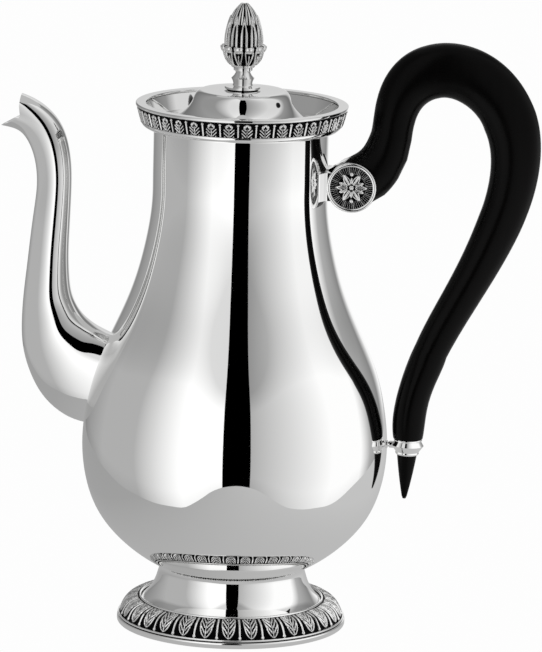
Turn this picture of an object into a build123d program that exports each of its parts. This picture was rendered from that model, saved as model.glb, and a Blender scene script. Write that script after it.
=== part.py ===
"""A lidded coffee pot of silver plate: a pear-shaped body on a spool foot, a swan-neck
spout, a loose lid with a bud finial, and a black wooden handle hung from a clasp at the
neck and a ring low on the body. Millimetres, +Z up, origin on the pot's axis at the plane
it stands on, handle towards +X, spout towards -X."""
from build123d import *
import math
import os

os.makedirs("parts", exist_ok=True)

# ---- body -------------------------------------------------------------------------
WALL = 1.0                     # sheet that the body and the spout are made of
FLOOR_HEIGHT = 19.5            # middle of the body's dished bottom
JOINT_RADIUS = 31.0            # ring where the foot meets the body
JOINT_HEIGHT = 25.0
BELLY_RADIUS = 63.2
BELLY_HEIGHT = 78.0
NECK_RADIUS = 36.15
NECK_DROP = 38.7               # the straight part of the neck starts this far under the rim
NECK_LEAD = 8.0                # the curve runs on this far up the straight neck, twice
# outline between those places, as shares of the way up and of the way across
FLOOR_SHAPE = [(0.27, 0.58)]
BOWL_SHAPE = [(0.094, 0.265), (0.226, 0.528), (0.434, 0.798), (0.74, 0.969)]
SHOULDER_SHAPE = [(0.137, 0.055), (0.275, 0.178), (0.431, 0.42), (0.608, 0.703), (0.804, 0.905)]

# ---- mouth ------------------------------------------------------------------------
RIM_HEIGHT = 218.7             # top of the whole mouth
FLANGE_WIDTH = 4.3
MOUTH_STEP = 3.25              # from the neck's face out to the opening inside the flange
FLANGE_THICKNESS = 1.3
FLANGE_EDGE_SHARE = 0.4        # rounding of its top edges, as a share of its thickness
SEAT_DEPTH = 9.1               # from the flange's top down to the ledge that the lid sits on
SEAT_WIDTH = 2.2
FLARE_HEIGHT = 1.4             # short cone from the neck out to the ledge
FLANGE_LIP = 0.8               # the flange stands this far out over the leaf border
RIM_BORDER_LEAN = 1.8          # the leaves' lower ends are this much nearer the axis
RIM_LEAF_HEIGHT = 6.5
RIM_ROLL_SHARE = 1.25          # radius of the roll under the leaves, to the drop it spans
RIM_BORDER_TUCK = 0.1          # the border's lower edge stands this far under the flare

# ---- foot -------------------------------------------------------------------------
FOOT_SHEET = 1.2
BASE_RADIUS = 47.5
BASE_THICKNESS = 2.5
BASE_WIDTH = 4.6
BASE_EDGE_SHARE = 0.3          # rounding of its outer edges, as a share of its thickness
COVE_STEP = 0.7                # the spool's narrowest place, in from the joint
COVE_DROP = 1.0                # and down from it
# the cove below that, as steps out and down from it
COVE_SHAPE = [(0.4, 3.0), (1.5, 6.5), (4.1, 11.2)]
FOOT_SPREAD = 6.6              # from the joint out to the inner edge of the leaf border
FOOT_BORDER_HEIGHT = 10.6
FOOT_BORDER_THICKNESS = 1.0
BEAD_RADIUS = 0.55             # wire between the border and the base ring
BEAD_INSET = 0.9               # its centre inside the base's edge, in wire radii
BEAD_REACH = 1.2               # the border ends this far inside that centre, in wire radii

# ---- lid --------------------------------------------------------------------------
LID_SHEET = 0.9
LID_CLEARANCE = 0.5            # round the lid's flange, and round its skirt in the neck
LID_PLAY = 0.05                # under the flange, so that it rests and never binds
LID_STAND = 5.8                # flat top of the lid above the rim
LID_FLAT_RADIUS = 9.0
LID_SLOPE_WIDTH = 18.15        # from the flange's edge in to the shoulder
LID_SHOULDER_DROP = 1.3
LID_CROWN = (2.0, 0.25)        # where the flat top starts to round: in from the shoulder, and down
# the lid's side: (out from the shoulder, share of the way down to the flange)
LID_SIDE = [(1.9, 0.38), (4.9, 0.65), (9.4, 0.87)]
LID_FLANGE_WIDTH = 3.5
LID_INNER_STEP = 0.1           # its inner face turns down this much nearer the axis
LID_SKIRT_DEPTH = 9.0

# ---- finial -----------------------------------------------------------------------
# outlines as (radius, height above the lid)
DISC_OUTLINE = [(6.3, 0.0), (7.5, 0.7), (7.3, 1.2), (4.2, 1.7), (3.9, 2.5)]
KNOP_OUTLINE = [(3.9, 2.5), (4.75, 4.7), (3.0, 7.0), (3.9, 8.2), (4.0, 9.3), (3.8, 9.9)]
CALYX_OUTLINE = [(4.2, 9.9), (6.6, 12.5), (7.9, 16.0), (8.9, 18.3)]
CALYX_LIP = (8.0, 18.8)
BUD_OUTLINE = [(4.18, 12.5), (7.07, 16.3), (7.6, 20.2), (6.3, 26.2), (3.5, 32.1), (1.5, 35.0)]
BUD_POINT = (0.76, 35.5)
STUD_RADIUS = 1.25
STUD_CLEARANCE = 0.1
STUD_REACH = 21.5              # how far it goes up into the bud
STUD_END = 1.5                 # and out under the nut
NUT_FLATS = 5.5
NUT_THICKNESS = 2.2
WASHER_RADIUS = 4.5
WASHER_THICKNESS = 0.8

# ---- spout: pairs of points across it in the XZ plane, outer edge and inner edge, with
# half its width across that plane, from inside the body to past the mouth. Every section
# is at least as long in the plane as it is wide across it. They are drawn for a rim and a
# belly of these heights and this radius, and follow them ---------------------------------
SPOUT_DRAWN_RIM = 218.7
SPOUT_DRAWN_BELLY = (63.2, 78.0)
SPOUT_STATIONS = [
    ((-58.0, 81.2), (-48.5, 118.4), 12.8),
    ((-69.6, 83.8), (-57.5, 122.4), 13.0),
    ((-79.2, 90.8), (-61.4, 124.8), 13.0),
    ((-86.0, 101.8), (-64.6, 127.6), 12.6),
    ((-89.4, 113.5), (-67.3, 131.6), 11.9),
    ((-90.0, 124.0), (-69.3, 136.6), 10.8),
    ((-89.4, 135.5), (-70.3, 143.6), 9.9),
    ((-88.2, 147.3), (-70.7, 152.6), 8.9),
    ((-86.9, 160.0), (-70.5, 163.2), 8.1),
    ((-85.6, 171.0), (-70.2, 172.8), 7.5),
    ((-84.6, 181.5), (-70.0, 182.5), 7.2),
    ((-85.4, 190.6), (-70.6, 193.0), 7.2),
    ((-87.4, 197.0), (-73.0, 202.8), 7.3),
    ((-90.2, 201.6), (-77.4, 210.2), 7.3),
    ((-94.8, 204.4), (-85.6, 216.6), 7.3),
    ((-100.0, 205.4), (-93.0, 219.4), 7.3),
    ((-105.0, 206.6), (-100.0, 221.4), 7.3),
]
# the beak: a line down the mouth, a notch, and a line out to the tip of the lower lip
BEAK_TOP = (-91.4, 218.9)
BEAK_EDGE = (-91.6, 214.8)
BEAK_NOTCH = (-90.9, 209.9)
BEAK_TIP = (-100.2, 205.2)
CUT_REACH = 25.0               # how far the cut goes past the beak

# ---- handle: centre line in the XZ plane with half the grip's width across the bend
# and half its thickness, from the clasp over the loop and down to the ring. They are drawn
# for a clasp and a lower end at these places, and follow them ----------------------------
GRIP_DRAWN_CLASP = (46.7, 187.0)
GRIP_DRAWN_END = (72.1, 81.6)
CLASP_STANDOFF = 10.55         # clasp's centre from the neck's face
CLASP_DROP = 31.7              # and under the rim
END_STANDOFF = 8.9             # middle of the wood's lower end from the belly
END_RISE = 3.6                 # and above the widest place
END_CUT = 40.0                 # size of the block that trims the wood square at that end
CLASP_RADIUS = 10.2
CLASP_WIDTH = 18.0             # over both ears
EAR_THICKNESS = 1.4
EAR_CLEARANCE = 0.1            # between an ear and the wood
GRIP_STATIONS = [
    (51.6, 190.2, 10.6, 7.5),
    (56.0, 194.4, 9.9, 7.6),
    (59.6, 200.4, 9.2, 7.8),
    (61.7, 207.8, 8.5, 8.0),
    (62.8, 215.5, 8.6, 8.2),
    (65.0, 223.2, 9.4, 8.5),
    (69.9, 230.4, 10.5, 8.8),
    (77.4, 234.8, 11.1, 9.0),
    (87.0, 235.6, 11.3, 9.1),
    (96.6, 232.2, 11.4, 9.2),
    (104.6, 225.4, 11.2, 9.2),
    (109.9, 216.4, 11.1, 9.2),
    (112.5, 206.2, 10.5, 9.0),
    (112.6, 195.8, 9.95, 8.8),
    (110.6, 184.2, 9.45, 8.5),
    (107.0, 173.2, 9.1, 8.3),
    (101.1, 159.4, 8.4, 7.9),
    (94.1, 145.5, 7.75, 7.5),
    (86.9, 132.0, 7.35, 7.2),
    (80.6, 118.9, 7.0, 6.9),
    (75.7, 105.6, 6.95, 6.8),
    (72.8, 93.6, 6.8, 6.7),
    (72.1, 85.0, 6.55, 6.5),
    (72.1, 81.6, 6.1, 6.05),
]

# ---- clasp at the neck --------------------------------------------------------------
SADDLE_HEIGHT = 11.6
SADDLE_SPREAD = 4.4            # past each ear, where it is soldered to the neck
SADDLE_ROOT = 6.0              # it is drawn this far into the neck, then trimmed to it
SADDLE_EDGE = 2.4              # the mouldings down its sides start this far in
SADDLE_REACH = 2.35            # how far out of the neck the block between the ears goes
# mouldings down each side of the saddle: (past the ear's outer face, out of the neck's face)
SADDLE_STEPS = [(3.9, -1.95), (3.2, -2.05), (2.8, -1.25), (2.0, -1.35), (1.6, -0.55),
                (0.8, -0.65), (0.4, 0.35), (0.0, 0.75)]
ROSETTE_RIM = 1.5              # the ear's plain rim round the medallion
ROSETTE_THICKNESS = 0.7
CLASP_PIN_RADIUS = 1.5
STRAP_START = (-9.85, 5.1)     # underside of the strap, from the clasp's centre
STRAP_END = (1.2, 11.8)
STRAP_WIDTH = 5.0
STRAP_THICKNESS = 1.1
STRAP_PIN_RADIUS = 0.6
STRAP_PIN_DEPTH = 5.0
STRAP_PIN_HEAD = 0.2           # its head stands this far out of the strap
STRAP_PIN_SHARE = 0.22         # its place along the strap
STRAP_TAPER_SHARE = 0.53       # the strap narrows from here on
GRIP_EDGE_CLEARANCE = 0.15     # the wood's round end inside the ears' edge
GRIP_START_CLEARANCE = 0.4

# ---- ring and tip at the handle's lower end -----------------------------------------
RING_LEAN = 2.0                # degrees that the ring and the tip lean in at the bottom
# the ring below its flat top, as (radius, drop), with its widest place level with the link
RING_OUTLINE = [(5.6, 0.0), (5.95, 0.55), (5.6, 1.1), (6.7, 2.9), (4.8, 5.6), (4.9, 6.2), (4.5, 6.8)]
RING_RADIUS, RING_WIDEST = RING_OUTLINE[3]
RING_HEIGHT = RING_OUTLINE[-1][1]
TIP_RADIUS = 4.1
TIP_LENGTH = 18.8
TIP_END_RADIUS = 1.1
TIP_END_BLUNT = 0.55           # its flat end, as a share of that radius
TIP_WAIST = (0.66, 0.5)        # a place on its side: share of its radius, share of its length
TIP_STUD_RADIUS = 1.5
TIP_STUD_LENGTH = 22.0
TIP_STUD_SHARE = 0.4           # how far into the tip it goes, as a share of the tip
LINK_WAIST = 0.9
LINK_BALL = 1.5
LINK_ROOT = 1.0                # it is drawn this far into the belly, then trimmed to it
LINK_NECK = 0.8                # length of the taper at each end of its waist

LOFT_RUN = 4                   # spans of the spout or the grip that are lofted together


def save(solid, name):
    """one node, one file"""
    export_step(solid, f"parts/{name}.step")


def turned(outline):
    """a closed outline of (radius, height) edges, turned about the pot's axis"""
    return revolve(Plane.XZ * make_face(outline), Axis.Z)


def ring(points):
    """a turned piece with straight edges between its (radius, height) points"""
    return turned(Polyline(*points, close=True))


def inset(points, distance):
    """an outline that runs upwards, moved towards the axis by a wall's thickness"""
    moved = []
    for before, point, after in zip([points[0], *points], points, [*points[1:], points[-1]]):
        run, rise = after[0] - before[0], after[1] - before[1]
        length = math.hypot(run, rise)
        moved.append((point[0] - distance * rise / length, point[1] + distance * run / length))
    return moved


def chained_loft(sections):
    """smooth lofts over a few sections at a time, joined end to end"""
    solid = None
    for first in range(0, len(sections) - 1, LOFT_RUN):
        stretch = loft(sections[first:first + LOFT_RUN + 1])
        solid = stretch if solid is None else solid + stretch
    return solid


def rod(start, end, radius):
    """a straight round bar between two places"""
    start, end = Vector(*start), Vector(*end)
    across = Plane(origin=start, z_dir=end - start)
    return extrude(across * Circle(radius), (end - start).length)


# ---- places that several pieces share ------------------------------------------------
NECK_HEIGHT = RIM_HEIGHT - NECK_DROP
SEAT_HEIGHT = RIM_HEIGHT - SEAT_DEPTH
NECK_TOP = SEAT_HEIGHT - FLARE_HEIGHT
NECK_BORE = NECK_RADIUS - WALL
SEAT_RADIUS = NECK_BORE + SEAT_WIDTH
MOUTH_RADIUS = NECK_RADIUS + MOUTH_STEP
FLANGE_RADIUS = MOUTH_RADIUS + FLANGE_WIDTH
FLANGE_UNDERSIDE = RIM_HEIGHT - FLANGE_THICKNESS
LID_TOP = RIM_HEIGHT + LID_STAND
CLASP_CENTRE = (NECK_RADIUS + CLASP_STANDOFF, RIM_HEIGHT - CLASP_DROP)
GRIP_END = (BELLY_RADIUS + END_STANDOFF, BELLY_HEIGHT + END_RISE)


def carried(place, drawn, actual):
    """a drawn place in the XZ plane, moved as the upper and the lower of two others have moved:
    with the upper one at its height and above, with the lower one at its height and below"""
    (upper, lower), height = drawn, place[1]
    share = min(1.0, max(0.0, (upper[1] - height) / (upper[1] - lower[1])))
    shifts = [(there[0] - here[0], there[1] - here[1]) for here, there in zip(drawn, actual)]
    return tuple(value + (1 - share) * above + share * below
                 for value, above, below in zip(place, *shifts))


def spout_place(place):
    """a place of the spout, which keeps its distance from the belly and reaches to the rim"""
    outwards = SPOUT_DRAWN_BELLY[0] - BELLY_RADIUS
    return carried(place, [(0.0, SPOUT_DRAWN_RIM), (0.0, SPOUT_DRAWN_BELLY[1])],
                   [(outwards, RIM_HEIGHT), (outwards, BELLY_HEIGHT)])


def grip_stations():
    """the wood's stations, hung between the clasp and the lower end"""
    return [(*carried((x, z), [GRIP_DRAWN_CLASP, GRIP_DRAWN_END], [CLASP_CENTRE, GRIP_END]), *halves)
            for x, z, *halves in GRIP_STATIONS]


def body_points():
    """the body's outer curve, from the middle of its bottom up to the straight neck"""
    def between(shape, low, high):
        return [(low[0] + across * (high[0] - low[0]), low[1] + up * (high[1] - low[1]))
                for up, across in shape]
    bottom, joint = (0.0, FLOOR_HEIGHT), (JOINT_RADIUS, JOINT_HEIGHT)
    belly, neck = (BELLY_RADIUS, BELLY_HEIGHT), (NECK_RADIUS, NECK_HEIGHT)
    return [bottom, *between(FLOOR_SHAPE, bottom, joint), joint, *between(BOWL_SHAPE, joint, belly),
            belly, *between(SHOULDER_SHAPE, belly, neck), neck,
            *[(NECK_RADIUS, NECK_HEIGHT + step * NECK_LEAD) for step in (1, 2)]]


def mouth_points(radius_shift):
    """straight neck, flare and mouth above the curve; the shift is from the inner face"""
    return [(NECK_BORE + radius_shift, NECK_HEIGHT + 2 * NECK_LEAD), (NECK_BORE + radius_shift, NECK_TOP),
            (SEAT_RADIUS + radius_shift, SEAT_HEIGHT), (MOUTH_RADIUS + radius_shift, FLANGE_UNDERSIDE)]


def body_curve(points):
    return Spline(*points, tangents=[(1, 0), (0, 1)])


def body_filled():
    """everything inside the body's outer face, for trimming what is soldered to it"""
    top = (0.0, FLANGE_UNDERSIDE)
    outer = mouth_points(WALL)
    outline = body_curve(body_points()) + Polyline(*outer, top, (0.0, FLOOR_HEIGHT))
    return turned(outline)


def body_shell(spout_bore):
    """spun sheet from the dished bottom to the flared mouth, open into the spout"""
    outer_curve = body_points()
    inner_curve = inset(outer_curve, WALL)
    inner_curve[0] = (0.0, FLOOR_HEIGHT + WALL)
    inner_curve[-1] = mouth_points(0.0)[0]
    outer, inner = mouth_points(WALL), mouth_points(0.0)
    outline = (body_curve(outer_curve) + Polyline(*outer, *reversed(inner))
               + body_curve(inner_curve) + Line(inner_curve[0], outer_curve[0]))
    return turned(outline) - spout_bore


def lid_seat():
    """ledge in the flare of the neck that the lid rests on"""
    return ring([(NECK_BORE, NECK_TOP), (SEAT_RADIUS, SEAT_HEIGHT), (NECK_BORE, SEAT_HEIGHT)])


def mouth_flange():
    """flat ring that closes the mouth's edge and covers the leaf border"""
    flange = ring([(MOUTH_RADIUS, FLANGE_UNDERSIDE), (FLANGE_RADIUS, FLANGE_UNDERSIDE),
                   (FLANGE_RADIUS, RIM_HEIGHT), (MOUTH_RADIUS, RIM_HEIGHT)])
    rounds = flange.edges().filter_by(GeomType.CIRCLE)
    edges = [edge for edge in rounds if edge.arc_center.Z > FLANGE_UNDERSIDE + 0.1]
    return fillet(edges, FLANGE_THICKNESS * FLANGE_EDGE_SHARE)


def rim_border(filled_body):
    """stamped strip of leaves round the mouth, with a rounded lower edge"""
    leaf_top = (FLANGE_RADIUS - FLANGE_LIP, FLANGE_UNDERSIDE)
    leaf_foot = (leaf_top[0] - RIM_BORDER_LEAN, FLANGE_UNDERSIDE - RIM_LEAF_HEIGHT)
    tuck = (NECK_RADIUS, NECK_TOP - RIM_BORDER_TUCK)
    outline = (Polyline((NECK_RADIUS, FLANGE_UNDERSIDE), leaf_top, leaf_foot)
               + RadiusArc(leaf_foot, tuck, (leaf_foot[1] - tuck[1]) * RIM_ROLL_SHARE)
               + Line(tuck, (NECK_RADIUS, FLANGE_UNDERSIDE)))
    return turned(outline) - filled_body


# ---- foot ---------------------------------------------------------------------------
BORDER_OUTER = (BASE_RADIUS - (BEAD_INSET + BEAD_REACH) * BEAD_RADIUS, BASE_THICKNESS + BEAD_RADIUS)
BORDER_INNER = (JOINT_RADIUS + FOOT_SPREAD, FOOT_BORDER_HEIGHT)
BORDER_CROWN = 1.5             # the border's middle, out and up from the straight line
SPOOL_TUCK = (0.2, 1.0)        # the spool's top edge, out from the joint and up over it
UNDER_DROPS = (0.0, 0.0, 0.1, 0.3, 0.7, 1.0)  # how much lower the cove's inner face runs


def border_arc(shift):
    """crown of the foot's leaf border, or the sheet under it when shifted down"""
    start = (BORDER_INNER[0], BORDER_INNER[1] - shift)
    end = (BORDER_OUTER[0] - shift, BORDER_OUTER[1])
    middle = ((start[0] + end[0]) / 2 + BORDER_CROWN, (start[1] + end[1]) / 2 + BORDER_CROWN)
    return start, middle, end


def foot_pedestal(filled_body):
    """spool of sheet: a cove that runs out under the leaf border to the base ring"""
    start, middle, end = border_arc(FOOT_BORDER_THICKNESS)
    waist = (JOINT_RADIUS - COVE_STEP, JOINT_HEIGHT - COVE_DROP)
    cove = [(JOINT_RADIUS + SPOOL_TUCK[0], JOINT_HEIGHT + SPOOL_TUCK[1]), waist,
            *[(waist[0] + out, waist[1] - down) for out, down in COVE_SHAPE], start]
    under = [(point[0] - FOOT_SHEET, point[1] - drop) for point, drop in zip(cove, UNDER_DROPS)]
    low_start = under[-1]
    low_middle = (middle[0] - FOOT_SHEET, middle[1] - FOOT_SHEET)
    low_end = (end[0] - FOOT_SHEET, BASE_THICKNESS)
    outline = (Spline(*cove) + ThreePointArc(start, middle, end)
               + Polyline(end, (end[0], BASE_THICKNESS), low_end)
               + ThreePointArc(low_end, low_middle, low_start)
               + Spline(*reversed(under)) + Line(under[0], cove[0]))
    return turned(outline) - filled_body


def foot_border():
    """stamped strip of leaves over the foot's slope"""
    outer = border_arc(0.0)
    inner = border_arc(FOOT_BORDER_THICKNESS)
    outline = (ThreePointArc(*outer) + Line(outer[2], inner[2])
               + ThreePointArc(*reversed(inner)) + Line(inner[0], outer[0]))
    return turned(outline)


def foot_bead():
    """round wire soldered between the border and the base ring"""
    place = (BASE_RADIUS - BEAD_INSET * BEAD_RADIUS, BASE_THICKNESS + BEAD_RADIUS)
    return revolve(Plane.XZ * Pos(*place) * Circle(BEAD_RADIUS), Axis.Z)


def base_ring():
    """flat ring that the pot stands on"""
    inner = BASE_RADIUS - BASE_WIDTH
    solid = ring([(inner, 0), (BASE_RADIUS, 0), (BASE_RADIUS, BASE_THICKNESS), (inner, BASE_THICKNESS)])
    rounds = solid.edges().filter_by(GeomType.CIRCLE)
    edges = [edge for edge in rounds if edge.radius > BASE_RADIUS - 0.1]
    return fillet(edges, BASE_THICKNESS * BASE_EDGE_SHARE)


# ---- spout --------------------------------------------------------------------------
def oval(outer, inner, half_width, wall):
    """one cross-section of the spout, drawn in its own plane"""
    outer, inner = Vector(outer[0], 0, outer[1]), Vector(inner[0], 0, inner[1])
    across = inner - outer
    plane = Plane(origin=(outer + inner) / 2, x_dir=across, z_dir=across.cross(Vector(0, 1, 0)))
    return plane * Ellipse(across.length / 2 - wall, half_width - wall)


def spout_body(wall):
    return chained_loft([oval(spout_place(outer), spout_place(inner), half_width, wall)
                         for outer, inner, half_width in SPOUT_STATIONS])


def beak_cut():
    """the space above the lower lip and in front of the mouth"""
    top, edge, notch, tip = [spout_place(place) for place in (BEAK_TOP, BEAK_EDGE, BEAK_NOTCH, BEAK_TIP)]
    far, high = tip[0] - CUT_REACH, top[1] + CUT_REACH
    slope = (tip[1] - notch[1]) / (tip[0] - notch[0])
    outline = Polyline((top[0], high), top, edge, notch, (far, notch[1] + slope * (far - notch[0])),
                       (far, high), close=True)
    return extrude(Plane.XZ * make_face(outline), CUT_REACH / 2, both=True)


# ---- handle -------------------------------------------------------------------------
def grip_plane(before, here, after):
    """section plane square to the centre line at one station"""
    direction = Vector(after[0] - before[0], 0, after[1] - before[1])
    return Plane(origin=(here[0], 0, here[1]), x_dir=Vector(0, 1, 0), z_dir=direction)


def grip_blank():
    """turned-looking oval bar along the centre line, with a round end in the clasp"""
    half = CLASP_WIDTH / 2 - EAR_THICKNESS - EAR_CLEARANCE
    stations = [(*CLASP_CENTRE, CLASP_RADIUS - GRIP_START_CLEARANCE, half), *grip_stations()]
    sections = []
    for before, here, after in zip([stations[0], *stations], stations, [*stations[1:], stations[-1]]):
        sections.append(grip_plane(before, here, after) * Ellipse(here[3], here[2]))
    end_disc = Plane.XZ.offset(-half) * Pos(*CLASP_CENTRE) * Circle(CLASP_RADIUS - GRIP_EDGE_CLEARANCE)
    return chained_loft(sections), extrude(end_disc, 2 * half)


def strap_ends():
    """underside of the strap, from the saddle to its free end"""
    return [Vector(CLASP_CENTRE[0] + out, 0, CLASP_CENTRE[1] + rise)
            for out, rise in (STRAP_START, STRAP_END)]


def strap(filled_body):
    """thin spring strap from the saddle up over the back of the wood, tapering"""
    start, end = strap_ends()
    length = (end - start).length
    taper = length * STRAP_TAPER_SHARE
    top = Plane(origin=start, x_dir=end - start, z_dir=(end - start).cross(Vector(0, 1, 0)))
    outline = Polyline((0, -STRAP_WIDTH / 2), (taper, -STRAP_WIDTH / 2), (length, -STRAP_WIDTH / 8),
                       (length, STRAP_WIDTH / 8), (taper, STRAP_WIDTH / 2), (0, STRAP_WIDTH / 2),
                       close=True)
    return extrude(top * make_face(outline), STRAP_THICKNESS) - filled_body


def strap_pin():
    """small pin that holds the strap down in the wood"""
    start, end = strap_ends()
    outwards = (end - start).cross(Vector(0, 1, 0)).normalized()
    place = start + (end - start) * STRAP_PIN_SHARE
    head = place + outwards * (STRAP_THICKNESS + STRAP_PIN_HEAD)
    return rod((*(place - outwards * STRAP_PIN_DEPTH),), (*head,), STRAP_PIN_RADIUS)


def clasp_disc(radius, near, far, side):
    """flat disc on the clasp's cross axis, between two distances from the middle"""
    start = (CLASP_CENTRE[0], side * near, CLASP_CENTRE[1])
    return rod(start, (CLASP_CENTRE[0], side * far, CLASP_CENTRE[1]), radius)


EAR_INNER = CLASP_WIDTH / 2 - EAR_THICKNESS
EAR_OUTER = CLASP_WIDTH / 2
ROSETTE_RADIUS = CLASP_RADIUS - ROSETTE_RIM


def clasp(filled_body, pin, strap_solid):
    """saddle soldered to the neck, with an ear each side of the wood's round end"""
    side = [(SADDLE_SPREAD, -SADDLE_ROOT), (SADDLE_SPREAD, -SADDLE_EDGE), *SADDLE_STEPS,
            (0.0, SADDLE_REACH)]
    half = [(NECK_RADIUS + out, EAR_OUTER + past) for past, out in side]
    plan = Polyline(*half, *[(x, -y) for x, y in reversed(half)], close=True)
    block = extrude(Pos(0, 0, CLASP_CENTRE[1] - SADDLE_HEIGHT / 2) * make_face(plan), SADDLE_HEIGHT)
    block -= clasp_disc(CLASP_RADIUS, -EAR_INNER, EAR_INNER, 1)
    for direction in (-1, 1):
        block += clasp_disc(CLASP_RADIUS, EAR_INNER, EAR_OUTER, direction)
        block -= clasp_disc(ROSETTE_RADIUS, EAR_OUTER - ROSETTE_THICKNESS, EAR_OUTER + 5, direction)
    return block - filled_body - pin - strap_solid


def rosette(side):
    """stamped medallion set into the face of one ear"""
    return clasp_disc(ROSETTE_RADIUS, EAR_OUTER - ROSETTE_THICKNESS, EAR_OUTER, side)


def clasp_pin():
    """rivet through both ears and the wood, hidden under the medallions"""
    reach = EAR_OUTER - ROSETTE_THICKNESS
    return rod((CLASP_CENTRE[0], -reach, CLASP_CENTRE[1]), (CLASP_CENTRE[0], reach, CLASP_CENTRE[1]),
               CLASP_PIN_RADIUS)


def lower_end():
    """place and lean of the ring, the tip and their stud: its top is at local z = 0"""
    return Pos(GRIP_END[0], 0, GRIP_END[1]) * Rot(0, RING_LEAN, 0)


def handle_ring(stud):
    """turned silver ring between the wood and its tip"""
    inner = TIP_STUD_RADIUS / 2
    side = [(radius, -drop) for radius, drop in RING_OUTLINE]
    outline = Polyline((inner, 0), *side, (inner, -RING_HEIGHT), close=True)
    return lower_end() * turned(outline) - stud


def handle_tip(stud):
    """black wooden point screwed on under the ring"""
    top, end = -RING_HEIGHT, -RING_HEIGHT - TIP_LENGTH
    outline = (Line((0, top), (TIP_RADIUS, top))
               + Spline((TIP_RADIUS, top), (TIP_RADIUS * TIP_WAIST[0], top - TIP_LENGTH * TIP_WAIST[1]),
                        (TIP_END_RADIUS, end + TIP_END_RADIUS))
               + Polyline((TIP_END_RADIUS, end + TIP_END_RADIUS), (TIP_END_RADIUS * TIP_END_BLUNT, end),
                          (0, end), (0, top)))
    return lower_end() * turned(outline) - stud


def tip_stud():
    """threaded brass stud through the ring, from the wood into the tip"""
    above = TIP_STUD_LENGTH - RING_HEIGHT - TIP_LENGTH * TIP_STUD_SHARE
    shank = Pos(0, 0, above - TIP_STUD_LENGTH) * Cylinder(TIP_STUD_RADIUS, TIP_STUD_LENGTH,
                                                          align=(Align.CENTER, Align.CENTER, Align.MIN))
    return lower_end() * shank


def ring_link(filled_body, ring_solid):
    """little turned bar that joins the ring to the belly"""
    height = GRIP_END[1] - RING_WIDEST
    gap_end = GRIP_END[0] - RING_RADIUS
    start = BELLY_RADIUS - LINK_ROOT
    outline = Polyline((start, 0), (start, LINK_WAIST * 2), (BELLY_RADIUS + LINK_NECK / 2, LINK_WAIST * 2),
                       (BELLY_RADIUS + LINK_NECK, LINK_WAIST), (gap_end - LINK_NECK, LINK_BALL),
                       (gap_end + LINK_ROOT, LINK_BALL), (gap_end + LINK_ROOT, 0), close=True)
    bar = revolve(Plane.XZ * Pos(0, height) * make_face(outline), Axis((0, 0, height), (1, 0, 0)))
    return bar - filled_body - ring_solid


def handle_grip(clasp_solid, strap_solid, pins, stud):
    """the black wood, from the clasp over the loop and down to the ring"""
    bar, end_disc = grip_blank()
    below = lower_end() * Box(END_CUT, END_CUT, END_CUT, align=(Align.CENTER, Align.CENTER, Align.MAX))
    solid = bar + end_disc - below - clasp_solid - strap_solid - stud
    for pin in pins:
        solid -= pin
    return solid


# ---- lid --------------------------------------------------------------------------
LID_UNDERSIDE = SEAT_HEIGHT + LID_PLAY
LID_FLANGE_RADIUS = SEAT_RADIUS - LID_CLEARANCE
SKIRT_RADIUS = NECK_BORE - LID_CLEARANCE
LID_SHOULDER_RADIUS = LID_FLANGE_RADIUS - LID_SLOPE_WIDTH


def lid_cover(stud):
    """spun cap: flat top, soft shoulder, flared side and a flange on the ledge"""
    rise = LID_TOP - LID_UNDERSIDE - LID_SHEET
    crown_end = (LID_SHOULDER_RADIUS - LID_CROWN[0], LID_TOP - LID_CROWN[1])
    side = [crown_end, (LID_SHOULDER_RADIUS, LID_TOP - LID_SHOULDER_DROP),
            *[(LID_SHOULDER_RADIUS + out, LID_TOP - share * rise) for out, share in LID_SIDE],
            (LID_FLANGE_RADIUS - LID_FLANGE_WIDTH, LID_TOP - rise)]
    under = inset([*reversed(side)], LID_SHEET)
    under[0] = (side[-1][0], side[-1][1] - LID_SHEET)
    under[-1] = (crown_end[0] - LID_INNER_STEP, crown_end[1] - LID_SHEET)
    outline = (Polyline((0, LID_TOP), (LID_FLAT_RADIUS, LID_TOP), crown_end) + Spline(*side)
               + Polyline(side[-1], (LID_FLANGE_RADIUS, side[-1][1]), (LID_FLANGE_RADIUS, LID_UNDERSIDE),
                          under[0])
               + Spline(*under)
               + Polyline(under[-1], (LID_FLAT_RADIUS, LID_TOP - LID_SHEET), (0, LID_TOP - LID_SHEET),
                          (0, LID_TOP)))
    return turned(outline) - stud


def lid_skirt():
    """ring under the lid's flange that keeps it centred in the neck"""
    inner = SKIRT_RADIUS - LID_SHEET
    return ring([(inner, LID_UNDERSIDE), (SKIRT_RADIUS, LID_UNDERSIDE),
                 (SKIRT_RADIUS, LID_UNDERSIDE - LID_SKIRT_DEPTH), (inner, LID_UNDERSIDE - LID_SKIRT_DEPTH)])


def above_lid(points):
    return [(radius, LID_TOP + height) for radius, height in points]


def finial_base(stud):
    """turned disc, knop and waist under the bud"""
    disc, knop = above_lid(DISC_OUTLINE), above_lid(KNOP_OUTLINE)
    outline = (Polyline((0, LID_TOP), *disc) + Spline(*knop)
               + Polyline(knop[-1], (0, knop[-1][1]), (0, LID_TOP)))
    return turned(outline) - stud


def finial_calyx(stud, bud):
    """cup of leaves that the bud sits in"""
    outer = above_lid(CALYX_OUTLINE)
    lip = above_lid([CALYX_LIP])[0]
    outline = Spline(*outer) + Polyline(outer[-1], lip, (0, lip[1]), (0, outer[0][1]), outer[0])
    return turned(outline) - bud - stud


def bud_outline():
    swell = above_lid(BUD_OUTLINE)
    point = above_lid([BUD_POINT])[0]
    return (Line((0, swell[0][1]), swell[0]) + Spline(*swell)
            + Polyline(swell[-1], point, (0, point[1]), (0, swell[0][1])))


def finial_bud(stud):
    """closed bud with overlapping leaves round a point"""
    return turned(bud_outline()) - stud


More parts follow.
